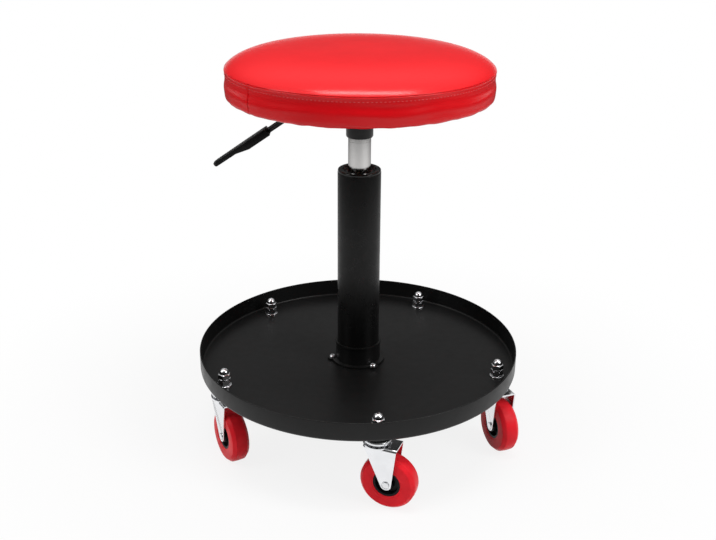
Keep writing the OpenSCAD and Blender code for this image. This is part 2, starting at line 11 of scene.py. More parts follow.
import bmesh
import bpy
from bpy.props import FloatProperty, FloatVectorProperty, IntProperty, PointerProperty
from bpy.types import Operator, Panel, PropertyGroup
from mathutils import Matrix, Vector, noise
from mathutils.bvhtree import BVHTree


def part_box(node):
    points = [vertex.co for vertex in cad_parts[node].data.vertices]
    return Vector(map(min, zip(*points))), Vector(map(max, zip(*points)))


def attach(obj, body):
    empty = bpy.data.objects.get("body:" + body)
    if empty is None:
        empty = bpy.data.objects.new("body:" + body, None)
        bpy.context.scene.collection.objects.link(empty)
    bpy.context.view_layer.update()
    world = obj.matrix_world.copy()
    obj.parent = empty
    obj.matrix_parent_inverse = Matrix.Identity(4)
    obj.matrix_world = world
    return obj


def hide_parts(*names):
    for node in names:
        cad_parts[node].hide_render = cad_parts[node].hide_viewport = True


bl_info = {
    "name": "Rolling Work Seat",
    "version": (1, 0, 0),
    "blender": (4, 5, 0),
    "location": "3D View > Sidebar > Work Seat",
    "description": "Models and finishes the pieces of a rolling work seat around its CAD frame",
    "category": "Object",
}

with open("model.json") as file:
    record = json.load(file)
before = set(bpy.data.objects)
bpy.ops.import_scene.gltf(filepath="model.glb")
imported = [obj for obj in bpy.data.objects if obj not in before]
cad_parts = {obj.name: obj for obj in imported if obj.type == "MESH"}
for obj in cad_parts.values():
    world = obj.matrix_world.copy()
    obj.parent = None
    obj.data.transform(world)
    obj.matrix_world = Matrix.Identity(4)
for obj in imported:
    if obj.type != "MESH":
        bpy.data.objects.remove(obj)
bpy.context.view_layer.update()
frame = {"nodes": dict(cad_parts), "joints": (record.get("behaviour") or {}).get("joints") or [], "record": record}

MM = 0.001
FULL_TURN = 2 * pi
CASTERS = range(1, 6)


def mm(*values):
    return [value * MM for value in values]


def heights(node):
    """Heights of a node's foot and top."""
    low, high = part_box(node)
    return low.z, high.z


def radius_of(node):
    """Radius of a node that is round about the seat's axis."""
    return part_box(node)[1].x


joints = {j["name"]: j for j in frame["joints"]}
node_slots = {part["node"]: part["material_slot"] for part in frame["record"]["subparts"]}
wheel_radius = joints["wheel_1_roll"]["pos_m"][2]
seat_radius = radius_of("seat_cover")
seat_foot, seat_top = heights("seat_cover")


def stem_and_wheel(i):
    """Spots of the swivel and of the wheel's axle of caster i."""
    return (Vector(joints[name]["pos_m"]) for name in (f"caster_{i}_swivel", f"wheel_{i}_roll"))


def floor_place(x, y, turn):
    return Matrix.Translation((x, y, 0)) @ Matrix.Rotation(turn, 4, "Z")


def caster_place(i):
    """Place of caster i: on its stem's axis at floor level, with +X along the way its wheel trails."""
    stem, wheel = stem_and_wheel(i)
    return floor_place(stem.x, stem.y, atan2(wheel.y - stem.y, wheel.x - stem.x))


def wheel_place(i):
    """Place of wheel i: at its middle, with +Z along its axle."""
    stem, wheel = stem_and_wheel(i)
    trail = (wheel.xy - stem.xy).length
    return caster_place(i) @ Matrix.Translation((trail, 0, wheel.z)) @ Matrix.Rotation(pi / 2, 4, "X")


def stem_place(i):
    """Place of the stem of caster i in the tray, with +X pointing out from the seat's axis."""
    stem, _ = stem_and_wheel(i)
    return floor_place(stem.x, stem.y, atan2(stem.y, stem.x))


def local_box(node, place):
    """Lowest and highest corner of a CAD node, measured along the axes of a place."""
    back = place.inverted()
    points = [back @ v.co for v in frame["nodes"][node].data.vertices]
    return [Vector(end(p[k] for p in points) for k in range(3)) for end in (min, max)]


# Sizes and colours that a user would change


def number(name, text, default, **options):
    return FloatProperty(name=name, description=text, default=default, **options)


def length(name, text, default):
    """A length, given in millimetres."""
    return number(name, text, default * MM, min=0, precision=5, unit="LENGTH")


def share(name, text, default, low=0.0):
    return number(name, text, default, min=low, max=1)


def power(name, text, default):
    return number(name, text, default, min=0, unit="POWER")


def degrees(name, text, default):
    return number(name, text, radians(default), subtype="ANGLE")


def colour(name, text, default):
    return FloatVectorProperty(name=name, description=text, default=default, min=0, max=1, size=3,
                               subtype="COLOR")


class CoverSettings(PropertyGroup):
    vinyl: colour("Vinyl", "Colour of the seat's cover", (0.84, 0.006, 0.011))
    thread: colour("Thread", "Colour of the stitches", (0.84, 0.035, 0.04))
    crown: length("Crown", "Rise of the top panel above the seam", 20.6)
    crown_cut: length("Crown cut", "How far outside the seam the crown's curve would end", 3.4)
    band_bulge: length("Band bulge", "How far the side band stands out and draws in", 0.6)
    edge: length("Lower edge", "Radius of the band's lower edge", 4)
    sheet: length("Vinyl thickness", "Thickness of the cover", 1.2)
    groove: length("Seam depth", "Depth of the groove along the top seam", 0.9)
    welt: length("Welt", "Radius of the welt under the groove", 0.9)
    crease: length("Crease depth", "Depth of the soft creases round the band", 0.3)
    gather: length("Gather depth", "How far each staple draws the hem in", 2.2)
    pucker: length("Pucker", "Height of the small waves along the band's lower edge", 0.7)
    reach: length("Cloth reach", "Most that the cloth may move from its cut shape", 3.0)
    joint_angle: degrees("Band joint", "Direction of the upright seam of the band", 220)
    joint_depth: length("Band joint depth", "Depth of the upright seam of the band", 2.6)
    stitch: length("Stitch", "Length of one stitch", 2.5)
    pitch: length("Stitch pitch", "Distance from one stitch to the next", 4.3)
    stitch_drop: length("Stitch drop", "Distance of the stitches below the top seam", 5.4)


class MetalSettings(PropertyGroup):
    paint: colour("Column paint", "Colour of the column, hub and lever", (0.006, 0.006, 0.006))
    powder: colour("Tray coat", "Colour of the tray's powder coat", (0.0075, 0.0075, 0.0075))
    zinc: colour("Zinc", "Colour of the zinc plate", (0.86, 0.87, 0.89))
    steel: colour("Steel", "Colour of the gas cylinder", (0.72, 0.71, 0.70))
    rim: length("Tray rim", "Radius of the tray's rounded rim", 0.7)
    fillet: length("Tray fillet", "Inner radius between the tray's floor and wall", 2.5)
    edge: length("Edge wear", "Width of the rounded edges of sheet metal", 0.35)


class WheelSettings(PropertyGroup):
    tread: colour("Tread", "Colour of the wheels' treads", (0.90, 0.020, 0.032))
    core: colour("Core", "Colour of the wheels' cores", (0.006, 0.007, 0.008))
    shoulder: length("Shoulder", "Width of the bevelled shoulder of a tread", 4)
    shoulder_round: length("Shoulder rounding", "Radius at each edge of the shoulder", 1.5)
    crown: length("Tread crown", "Rise of the running face in its middle", 0.35)


class GripSettings(PropertyGroup):
    plastic: colour("Plastic", "Colour of the lever's grip", (0.004, 0.004, 0.004))
    ribs: IntProperty(name="Ribs", description="Number of cross ribs on the grip", default=9, min=0)
    rib_start: length("Rib start", "Distance of the first rib from the grip's tip", 7)
    rib_step: length("Rib step", "Distance from one rib to the next", 3.4)
    rib_width: length("Rib width", "Length of each rib across the grip", 9)
    rib_height: length("Rib height", "How far a rib stands out", 0.35)


class StageSettings(PropertyGroup):
    floor: colour("Floor", "Colour of the floor", (0.80, 0.80, 0.80))
    # painted shade: how much of its colour the floor keeps far from the object
    far_floor_shade: share("Far floor", "Share of its colour that the floor keeps far out", 0.18)
    white: share("White floor", "Share of plain white in the floor by the object", 0.86)
    overhead: power("Overhead", "Power of the overhead light", 7.3)
    left: power("Left", "Power of the light at the left", 6.5)
    right: power("Right", "Power of the light at the right", 11.5)
    room: share("Room", "Brightness of the room on the object", 0.28)
    distance: length("Distance", "Distance of the camera from the seat's axis", 1124.2)
    height: length("Height", "Height of the camera", 679.2)
    pitch: degrees("Pitch", "How far the camera looks down", 22.13)
    roll: degrees("Roll", "Turn of the camera about its view", 0.447)
    lens: number("Lens", "Focal length of the camera", 51.626, min=1, unit="CAMERA")
    aside: share("Shift aside", "Sideways shift of the picture, as a share of its width", -0.00103, -1)
    upward: share("Shift upward", "Upward shift of the picture, as a share of its width", -0.01704, -1)


SETTINGS = {
    "cover": CoverSettings, "metal": MetalSettings, "wheel": WheelSettings, "grip": GripSettings,
    "stage": StageSettings,
}


def look_name(group):
    return f"seat_{group}_look"


def look(group):
    """The sizes and colours of a group of pieces."""
    return getattr(bpy.context.scene, look_name(group))


# Shaping


def rounded(corners, steps=4):
    """Closed outline through corners (x, y, radius), each with its arc."""
    outline = []
    for i, (x, y, radius) in enumerate(corners):
        corner = Vector((x, y))
        if radius == 0:
            outline.append(corner)
            continue
        before = (Vector(corners[i - 1][:2]) - corner).normalized()
        after = (Vector(corners[(i + 1) % len(corners)][:2]) - corner).normalized()
        half = before.angle(after) / 2
        centre = corner + (before + after).normalized() * radius / sin(half)
        arm = corner + before * radius / tan(half) - centre
        turn = copysign(pi - 2 * half, after.cross(before))
        outline += [centre + Matrix.Rotation(turn * k / steps, 2) @ arm for k in range(steps + 1)]
    return outline


def arc(cx, cy, radius, start, end, steps):
    """Points of an arc, with its angles in degrees."""
    angles = [radians(start + (end - start) * k / steps) for k in range(steps + 1)]
    return [(cx + radius * cos(a), cy + radius * sin(a)) for a in angles]


def merge(bm):
    """Makes points that lie together one."""
    bmesh.ops.remove_doubles(bm, verts=bm.verts, dist=0.001 * MM)


def face_out(bm):
    bmesh.ops.recalc_face_normals(bm, faces=bm.faces)


def spun(outline, steps, closed=True, turn=FULL_TURN, rise=0.0):
    """Shell made by turning an outline of (radius, height) about Z."""
    bm = bmesh.new()
    verts = [bm.verts.new((r, 0.0, z)) for r, z in outline]
    pairs = list(zip(verts, verts[1:]))
    if closed:
        pairs.append((verts[-1], verts[0]))
    edges = [bm.edges.new(pair) for pair in pairs]
    whole = turn == FULL_TURN
    bmesh.ops.spin(bm, geom=verts + edges, axis=(0, 0, 1), dvec=(0, 0, rise / steps), angle=turn,
                   steps=steps, use_merge=whole)
    if not whole:
        bmesh.ops.holes_fill(bm, edges=[e for e in bm.edges if e.is_boundary])
    merge(bm)
    face_out(bm)
    return bm


def only(kind, geom):
    """The vertices or the edges among what an operation made."""
    return [g for g in geom if isinstance(g, kind)]


def ringed(rings, segments=48):
    """Closed shell through rings about Z. Each ring is (height, radius), or functions of the angle."""
    bm = bmesh.new()
    loop = bmesh.ops.create_circle(bm, radius=1.0, segments=segments)["verts"]
    edges = list({e for v in loop for e in v.link_edges})
    angle_of = {v: atan2(v.co.y, v.co.x) for v in loop}

    def place(verts, ring):
        for v in verts:
            height, radius = (f(angle_of[v]) if callable(f) else f for f in ring)
            v.co = (radius * cos(angle_of[v]), radius * sin(angle_of[v]), height)

    place(loop, rings[0])
    for ring in rings[1:] + rings[:1]:
        out = bmesh.ops.extrude_edge_only(bm, edges=edges)["geom"]
        fresh, edges = only(bmesh.types.BMVert, out), only(bmesh.types.BMEdge, out)
        before = set(loop)
        for v in fresh:
            origin = next(e.other_vert(v) for e in v.link_edges if e.other_vert(v) in before)
            angle_of[v] = angle_of[origin]
        place(fresh, ring)
        loop = fresh
    merge(bm)
    bmesh.ops.delete(bm, geom=[e for e in bm.edges if not e.link_faces], context="EDGES")
    face_out(bm)
    return bm


def hexagon(flat):
    """Radius of a hexagon with this width across its flats, as a function of the angle."""
    sixth = pi / 3
    return lambda a: flat / 2 / cos(a % sixth - sixth / 2)


def corner_ring(height, six, cone, lean):
    """Ring where the cone that breaks a hexagon's corners meets its flats."""
    return (lambda a: height + (six(a) - cone) * lean, six)


def repeated(part, places):
    """One bmesh with a copy of a part at each place. The part is freed."""
    bm = bmesh.new()
    for place in places:
        copy = part.copy()
        bmesh.ops.transform(copy, matrix=place, verts=copy.verts)
        mesh = bpy.data.meshes.new("part")
        copy.to_mesh(mesh)
        copy.free()
        bm.from_mesh(mesh)
        bpy.data.meshes.remove(mesh)
    part.free()
    return bm


def softened(node, width, segments, sharp_from):
    """Copy of a CAD node. Its edges are rounded where they turn by more than sharp_from degrees."""
    flat_below = radians(1)
    bm = bmesh.new()
    bm.from_mesh(frame["nodes"][node].data)
    merge(bm)
    bmesh.ops.dissolve_limit(bm, angle_limit=flat_below, verts=bm.verts, edges=bm.edges)
    limit = radians(sharp_from)
    sharp = [e for e in bm.edges if len(e.link_faces) == 2 and e.calc_face_angle() > limit]
    bmesh.ops.bevel(bm, geom=sharp, offset=width, segments=segments, profile=0.5, affect="EDGES",
                    clamp_overlap=True, material=-1)
    face_out(bm)
    return bm


def linked(name, data):
    """A new object in the scene."""
    obj = bpy.data.objects.new(name, data)
    bpy.context.scene.collection.objects.link(obj)
    return obj


def formed(name, bm, material):
    """A new object from a bmesh, which is freed."""
    mesh = bpy.data.meshes.new(name)
    bm.to_mesh(mesh)
    bm.free()
    mesh.materials.append(material)
    return linked(name, mesh)


def add_piece(name, bm, body, slot, nodes=(), sharp=38, finish=None):
    """Makes a piece that rides on a body and stands for nodes. Its finish is its slot's or its own.

    Edges that turn by sharp degrees or more stay sharp.
    """
    for face in bm.faces:
        face.smooth = True
    for edge in bm.edges:
        edge.smooth = len(edge.link_faces) == 2 and edge.calc_face_angle() < radians(sharp)
    obj = formed(name, bm, material_of(finish or slot))
    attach(obj, body)
    if nodes:
        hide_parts(*nodes)
    return obj


def add_set(name, part, slot, node, sharp=38):
    """Makes a piece with a copy of a part at each caster's stem."""
    places = [stem_place(i) for i in CASTERS]
    add_piece(name, repeated(part, places), "base", slot, [node], sharp)


# Materials


class Graph:
    """The few node calls that the materials, the floor and the world need."""

    def __init__(self, tree):
        self.tree = tree

    @classmethod
    def emptied(cls, data):
        """The emptied node tree of a material or a world."""
        data.use_nodes = True
        data.node_tree.nodes.clear()
        return cls(data.node_tree)

    def set(self, node, socket, value):
        if isinstance(value, bpy.types.NodeSocket):
            self.tree.links.new(value, node.inputs[socket])
        else:
            node.inputs[socket].default_value = value

    def add(self, kind, inputs=(), **fields):
        node = self.tree.nodes.new("ShaderNode" + kind)
        for field, value in fields.items():
            setattr(node, field, value)
        for socket, value in dict(inputs).items():
            self.set(node, socket, value)
        return node

    def math(self, operation, a, b=0.0):
        return self.add("Math", {0: a, 1: b}, operation=operation).outputs[0]

    def span(self, value, low, high, start=0.0, end=1.0, kind="LINEAR"):
        """Value mapped from start..end to low..high."""
        inputs = {"Value": value, "From Min": start, "From Max": end, "To Min": low, "To Max": high}
        return self.add("MapRange", inputs, interpolation_type=kind).outputs[0]

    def seen_white(self, mask):
        """Share of the white background: whole for the camera, and the mask's for what metal shows."""
        path = self.add("LightPath")
        shown = self.math("MAXIMUM", path.outputs["Is Glossy Ray"], path.outputs["Is Transmission Ray"])
        return self.math("MAXIMUM", path.outputs["Is Camera Ray"], self.math("MULTIPLY", shown, mask))


class Nodes(Graph):
    """A material and the node calls that its finish needs."""

    def __init__(self, name, color, roughness, **sockets):
        self.material = bpy.data.materials.new(name)
        self.material.use_nodes = True
        super().__init__(self.material.node_tree)
        self.shader = self.tree.nodes["Principled BSDF"]
        for socket, value in dict(sockets, base_color=(*color, 1), roughness=roughness).items():
            self.set(self.shader, socket.replace("_", " ").title().replace("Ior", "IOR"), value)
        self.material.diffuse_color = (*color, 1)

    def place(self, stretch=(1, 1, 1)):
        """Object coordinates, stretched."""
        spot = self.add("TexCoord").outputs["Object"]
        return self.add("Mapping", {"Vector": spot, "Scale": stretch}).outputs[0]

    def noise(self, scale, detail, roughness=0.5, vector=None):
        inputs = {"Vector": vector or self.place(), "Scale": scale, "Detail": detail,
                  "Roughness": roughness}
        return self.add("TexNoise", inputs).outputs["Fac"]

    def cells(self, scale, feature="F1"):
        inputs = {"Vector": self.place(), "Scale": scale}
        return self.add("TexVoronoi", inputs, feature=feature).outputs["Distance"]

    def sum(self, a, b, weight):
        return self.math("ADD", a, self.math("MULTIPLY", b, weight))

    def tint(self, value, low, high):
        """Base colour that runs from low to high with value."""
        mix = self.add("Mix", {"Factor": value, 6: (*low, 1), 7: (*high, 1)}, data_type="RGBA")
        self.set(self.shader, "Base Color", mix.outputs[2])

    def cloud(self, color, dark, light, spots, low=0.3, high=0.7):
        """Base colour that drifts between two shades of a colour with soft spots."""
        self.tint(self.span(spots, 0, 1, low, high), shade(color, dark), shade(color, light))

    def shine(self, value, low, high):
        """Roughness that runs from low to high with value."""
        self.set(self.shader, "Roughness", self.span(value, low, high, 0.3, 0.7))

    def bump(self, height, distance, strength):
        inputs = {"Height": height, "Distance": distance, "Strength": strength}
        self.set(self.shader, "Normal", self.add("Bump", inputs).outputs[0])


def shade(color, factor):
    return tuple(min(1.0, c * factor) for c in color)


def vinyl(name, color):
    """Semi-gloss upholstery vinyl with a fine pebbled grain."""
    n = Nodes(name, color, 0.24, specular_ior_level=0.35)
    grain = n.cells(820, "SMOOTH_F1")
    pores = n.noise(2600, 2)
    n.cloud(color, 0.95, 1.04, n.noise(9, 2), 0.35, 0.65)
    n.shine(n.noise(60, 4), 0.22, 0.27)
    n.bump(n.sum(grain, pores, 0.35), 0.06 * MM, 0.3)
    return n


def thread(name, color):
    """Twisted sewing thread."""
    n = Nodes(name, color, 0.5, sheen_weight=0.3)
    twist = n.noise(1800, 2, vector=n.place((1, 1, 2.5)))
    n.tint(twist, shade(color, 0.75), shade(color, 1.2))
    n.bump(twist, 0.08 * MM, 0.6)
    return n


def paint(name, color, roughness, peel, depth=0.02 * MM):
    """Sprayed paint or powder coat with a faint orange peel."""
    n = Nodes(name, color, roughness, specular_ior_level=0.26)
    waves = n.noise(peel, 2)
    n.cloud(color, 0.9, 1.12, n.noise(14, 3))
    n.shine(n.noise(90, 4), roughness - 0.04, roughness + 0.05)
    n.bump(n.sum(waves, n.noise(peel * 6, 2), 0.12), depth, 0.5)
    return n


def plastic(name, color, roughness, gloss=0.3, grain=0.03 * MM, scale=1100):
    """Moulded plastic with a spark-eroded grain."""
    n = Nodes(name, color, roughness, specular_ior_level=gloss)
    sparks = n.noise(scale, 3)
    n.tint(n.noise(20, 2), shade(color, 0.85), shade(color, 1.15))
    n.shine(n.noise(140, 3), roughness - 0.04, roughness + 0.06)
    n.bump(sparks, grain, 0.5)
    return n


def plate(name, color, roughness, drawn, spread=0.05, depth=0.004 * MM):
    """Plated or bare metal with faint drawing marks and clouded gloss."""
    n = Nodes(name, color, roughness, metallic=1.0)
    marks = n.noise(420, 3, vector=n.place(drawn))
    clouds = n.noise(55, 3)
    n.cloud(color, 0.94, 1.04, clouds)
    n.shine(clouds, roughness - spread / 2, roughness + spread)
    n.bump(marks, depth, 0.5)
    return n


def turned_steel(name, color):
    """Ground gas cylinder with fine marks round it."""
    n = Nodes(name, color, 0.17, metallic=1.0, specular_tint=(0.55, 0.55, 0.55, 1))
    marks = n.noise(60, 4, vector=n.place((1, 1, 45)))
    n.tint(marks, shade(color, 0.95), shade(color, 1.04))
    n.shine(marks, 0.15, 0.20)
    n.bump(marks, 0.003 * MM, 0.4)
    return n


def tread_rubber(name, color):
    """Cast polyurethane, smooth and a little clouded."""
    n = Nodes(name, color, 0.36, specular_ior_level=0.1, subsurface_weight=0.12,
              subsurface_radius=(4 * MM, MM, MM), subsurface_scale=0.3)
    n.cloud(color, 0.92, 1.06, n.noise(70, 3))
    n.shine(n.noise(160, 4), 0.30, 0.42)
    n.bump(n.noise(700, 3), 0.015 * MM, 0.4)
    return n


def rubber(name, color):
    """Dull moulded rubber."""
    n = Nodes(name, color, 0.75)
    n.shine(n.noise(200, 3), 0.68, 0.82)
    n.bump(n.noise(900, 3), 0.05 * MM, 0.5)
    return n


def plywood(name):
    """Raw plywood: long grain on its faces."""
    n = Nodes(name, (0.60, 0.42, 0.24), 0.62)
    rings = n.noise(9, 5, 0.6, vector=n.place((2.2, 26, 26)))
    fibres = n.noise(60, 3, vector=n.place((3, 60, 60)))
    n.tint(n.span(n.sum(rings, fibres, 0.35), 0, 1, 0.45, 0.9), (0.42, 0.26, 0.13), (0.70, 0.52, 0.31))
    n.bump(fibres, 0.12 * MM, 0.6)
    return n


def foam_rubber(name):
    """Cut foam with open cells."""
    n = Nodes(name, (0.85, 0.78, 0.55), 0.9, subsurface_weight=0.1,
              subsurface_radius=(3 * MM, 2 * MM, MM))
    cells = n.cells(650)
    n.tint(cells, (0.70, 0.62, 0.40), (0.90, 0.84, 0.62))
    n.bump(cells, 0.5 * MM, 0.6)
    return n


def finishes():
    """How to make each material: a function and what it is given after the name."""
    cover, metal, wheel, grip = (look(group) for group in ("cover", "metal", "wheel", "grip"))
    return {
        "red_vinyl": (vinyl, cover.vinyl),
        "red_thread": (thread, cover.thread),
        "tray_paint": (paint, metal.powder, 0.36, 420),
        "column_paint": (paint, metal.paint, 0.30, 300, 0.01 * MM),
        "bush_plastic": (plastic, (0.005, 0.005, 0.005), 0.14, 0.5, 0.006 * MM, 400),
        "lever_plastic": (plastic, grip.plastic, 0.36, 0.18),
        "core_plastic": (plastic, wheel.core, 0.34, 0.12),
        "white_nylon": (plastic, (0.80, 0.79, 0.74), 0.42),
        "red_tread": (tread_rubber, wheel.tread),
        "black_rubber": (rubber, (0.02, 0.02, 0.02)),
        "zinc_fork": (plate, metal.zinc, 0.20, (1, 1, 4)),
        "zinc": (plate, shade(metal.zinc, 0.93), 0.24, (6, 6, 1)),
        "bright_screw": (plate, (0.82, 0.82, 0.84), 0.18, (1, 1, 8), 0.04),
        "cap_chrome": (plate, (0.90, 0.90, 0.92), 0.17, (1, 1, 1), 0.03, 0.001 * MM),
        "cylinder_steel": (turned_steel, metal.steel),
        "plain_steel": (plate, (0.60, 0.60, 0.62), 0.28, (1, 1, 10)),
        "brass_valve": (plate, (0.74, 0.58, 0.30), 0.25, (1, 1, 10)),
        "plywood": (plywood,),
        "foam": (foam_rubber,),
    }


materials = {}


def material_of(name):
    """Each material is made when it is first asked for, then shared."""
    if name not in materials:
        make, *values = finishes()[name]
        materials[name] = make(name, *values).material
    return materials[name]


def dressed(node, body, width, segments=2, sharp_from=35):
    """Softened copy of a node, in the material of its own slot, that stands for it."""
    bm = softened(node, width, segments, sharp_from)
    add_piece("dressed_" + node, bm, body, node_slots[node], [node])


# Seat


seam_height = seat_top - 18.5 * MM
seam_radius = seat_radius - 1.5 * MM
board_radius = radius_of("seat_board")
hem_radius = board_radius - 22 * MM  # the hem's inner edge, under the board


def crown_height(spot, s):
    """Height of the top panel at a share of the seam's radius. Its curve is cut off at the seam."""
    def curve(share_out):
        return sqrt(1 - (share_out * seam_radius / (seam_radius + s.crown_cut)) ** 4)

    return seam_height + s.crown * (curve(spot) - curve(1)) / (1 - curve(1))


def crown_line(radius, steps, s, below=0.0):
    """Points of the top panel from its middle to its seam, closer together near the seam."""
    spots = [sin(pi / 2 * k / steps) for k in range(steps + 1)]
    return [(radius * spot, crown_height(spot, s) - below) for spot in spots]


def cover_outline(s):
    """The cover's outer face, from the middle of its crown to the inner edge of its hem."""
    low = seam_height - s.groove
    groove = [(seam_radius - 0.5 * s.groove, seam_height - 0.6 * s.groove),
              (seam_radius - s.groove, low)]
    welt_z = low - 0.8 * s.welt
    welt = arc(seam_radius + 0.3 * MM - s.welt, welt_z, s.welt, 60, -60, 6)
    start = welt_z - 1.1 * s.welt
    edge_top = seat_foot + s.edge
    # how far the band stands out, from the welt down to its lower edge
    stand = [-0.2, -0.25, -0.4, -0.55, -0.6, -0.5, -0.2, 0.3, 0.75, 1.0, 1.05, 0.95, 0.75, 0.45, 0.1]
    band = [(seam_radius + s.band_bulge * out, start + (edge_top - start) * k / (len(stand) - 1))
            for k, out in enumerate(stand)]
    flat_start = seam_radius - s.edge
    edge = arc(flat_start, edge_top, s.edge, 0, -90, 6)[1:]
    steps = 8
    hem = [(flat_start + (hem_radius - flat_start) * (k + 1) / steps, seat_foot) for k in range(steps)]
    return crown_line(seam_radius, 36, s) + groove + welt + band + edge + hem


def add_creases(bm, s):
    """Soft lengthwise creases of the band, the dip of its stitches and the waves of its lower edge."""
    seam_zone = 3 * MM
    dip_width, dip_depth = mm(1.3, 0.3)
    low_part = 2.2 * s.edge
    hem_fade = 10 * MM
    for v in bm.verts:
        outward = Vector((v.co.x, v.co.y, 0))
        if outward.length < seam_radius - 2 * s.edge or v.co.z > seam_height - seam_zone:
            continue
        outward.normalize()
        t = (seam_height - v.co.z) / (seam_height - seat_foot)
        drift = 0.16 * noise.noise(outward * 2.1)
        drift += 0.05 * noise.noise(outward * 5.0 + Vector((3, 1, 4)))
        depth = 0.75 + 0.5 * noise.noise(outward * 3.3 + Vector((7, 2, 5)))
        wave = sin(FULL_TURN * (2.1 * (t + drift) + 0.12)) * sin(pi * min(1, t * 1.05))
        dip = exp(-((v.co.z - seam_height + s.stitch_drop) / dip_width) ** 2)
        v.co += outward * (s.crease * depth * wave - dip_depth * dip)
        low = max(0.0, 1 - (v.co.z - seat_foot) / low_part)
        if low > 0:
            ripple = noise.noise(outward * 16) + 0.6 * noise.noise(outward * 34 + Vector((2, 8, 1)))
            v.co.z += s.pucker * ripple * low * min(1.0, (v.co.xy.length - hem_radius) / hem_fade)


def gather_hem(bm, s):
    """Draws the hem in at each staple and lets it belly between staples."""
    staples = 24
    hem_high = seat_foot + 2 * MM
    hem_out = seam_radius - s.edge + 0.1 * MM
    for v in bm.verts:
        r = v.co.xy.length
        if v.co.z > hem_high or r > hem_out:
            continue
        angle = atan2(v.co.y, v.co.x)
        pull = cos(staples * angle) * (1 - (r - hem_radius) / (seam_radius - hem_radius))
        v.co.xy *= 1 - s.gather * 0.5 * pull / r


def simulate_cover(obj, s):
    """Cloth run that tightens the band over its pad, held by the taut top panel and at the hem."""
    vertices = obj.data.vertices
    held = obj.vertex_groups.new(name="held")
    loose = obj.vertex_groups.new(name="loose")
    top_low = seam_height - 3.2 * MM
    hem_high, hem_out = seat_foot + 2 * MM, hem_radius + 10 * MM
    for v in vertices:
        at_hem = v.co.z < hem_high and v.co.xy.length < hem_out
        if v.co.z > top_low or at_hem:
            held.add([v.index], 1.0, "REPLACE")
        if v.co.z < seam_height:
            loose.add([v.index], 1.0, "REPLACE")
    cloth = obj.modifiers.new("Cloth", "CLOTH")
    vinyl_sheet = dict(
        quality=8, mass=0.25, tension_stiffness=25, compression_stiffness=25, shear_stiffness=12,
        bending_stiffness=1.2, use_pressure=True, uniform_pressure_force=2.5,
        vertex_group_mass="held", vertex_group_shrink="loose", shrink_max=-0.03,
    )
    for field, value in vinyl_sheet.items():
        setattr(cloth.settings, field, value)
    cloth.settings.effector_weights.gravity = 0
    cloth.collision_settings.use_collision = False
    scene = bpy.context.scene
    for moment in range(1, 21):
        scene.frame_set(moment)
    shaped = obj.evaluated_get(bpy.context.evaluated_depsgraph_get()).to_mesh()
    moved = [v.co.copy() for v in shaped.vertices]
    obj.modifiers.remove(cloth)
    scene.frame_set(1)
    for v, now in zip(vertices, moved):
        step = now - v.co
        if step.length > s.reach:
            step *= s.reach / step.length
        v.co += step
    obj.vertex_groups.clear()


def press_band_joint(bm, s):
    """Upright seam of the band: two rows of edges with a line drawn in between them."""
    along = Vector((cos(s.joint_angle), sin(s.joint_angle), 0))
    across = Vector((-along.y, along.x, 0))
    half, near = mm(0.9, 12)
    swell = 0.12 * MM

    def on_band(c):
        outside = c.dot(along) > 0 and c.xy.length > seam_radius - 8 * MM
        return outside and c.z < seam_height - 0.5 * MM

    def by_joint(face):
        c = face.calc_center_median()
        return on_band(c) and abs(c.dot(across)) < near

    for row in range(-2, 3):
        faces = [f for f in bm.faces if by_joint(f)]
        geom = list({g for f in faces for g in [f, *f.edges, *f.verts]})
        bmesh.ops.bisect_plane(bm, geom=geom, dist=0.01 * MM, plane_co=across * row * half,
                               plane_no=across)
    for v in bm.verts:
        side = abs(v.co.dot(across))
        if on_band(v.co):
            if side < 0.1 * half:
                v.co -= along * s.joint_depth
            elif abs(side - half) < 0.1 * half:
                v.co += along * swell


class WORKSEAT_OT_cover(Operator):
    """Sews the seat's cover and tightens it over its pad"""

    bl_idname = "workseat.cover"
    bl_label = "Seat cover"

    def execute(self, context):
        s = look("cover")
        bm = spun(cover_outline(s), 176, closed=False)
        up = max(bm.verts, key=lambda v: v.co.z)
        if up.link_faces[0].normal.z < 0:
            bmesh.ops.reverse_faces(bm, faces=bm.faces)
        add_creases(bm, s)
        gather_hem(bm, s)
        obj = add_piece("seat_cover_vinyl", bm, "seat", "red_vinyl", ["seat_cover"], sharp=180)
        simulate_cover(obj, s)
        bm = bmesh.new()
        bm.from_mesh(obj.data)
        press_band_joint(bm, s)
        bm.to_mesh(obj.data)
        bm.free()
        subdivision = obj.modifiers.new("Subdivision", "SUBSURF")
        subdivision.levels = subdivision.render_levels = 1
        wall = obj.modifiers.new("Solidify", "SOLIDIFY")
        wall.thickness = s.sheet
        return {"FINISHED"}


class WORKSEAT_OT_foam(Operator):
    """Cuts the foam pad under the cover"""

    bl_idname = "workseat.foam"
    bl_label = "Foam pad"

    def execute(self, context):
        s = look("cover")
        gap = s.sheet + 1.3 * MM
        side = seam_radius - gap
        board_low, board_high = heights("seat_board")
        low, high = board_low + gap, board_high + 1.6 * MM
        recess = board_radius + 0.3 * MM
        foot = [(side, low), (recess, low), (recess, high), (0, high)]
        bm = spun(crown_line(side, 24, s, gap) + foot, 96, closed=False)
        obj = add_piece("seat_pad_foam", bm, "seat", "foam", ["seat_foam"])
        return {"FINISHED"}


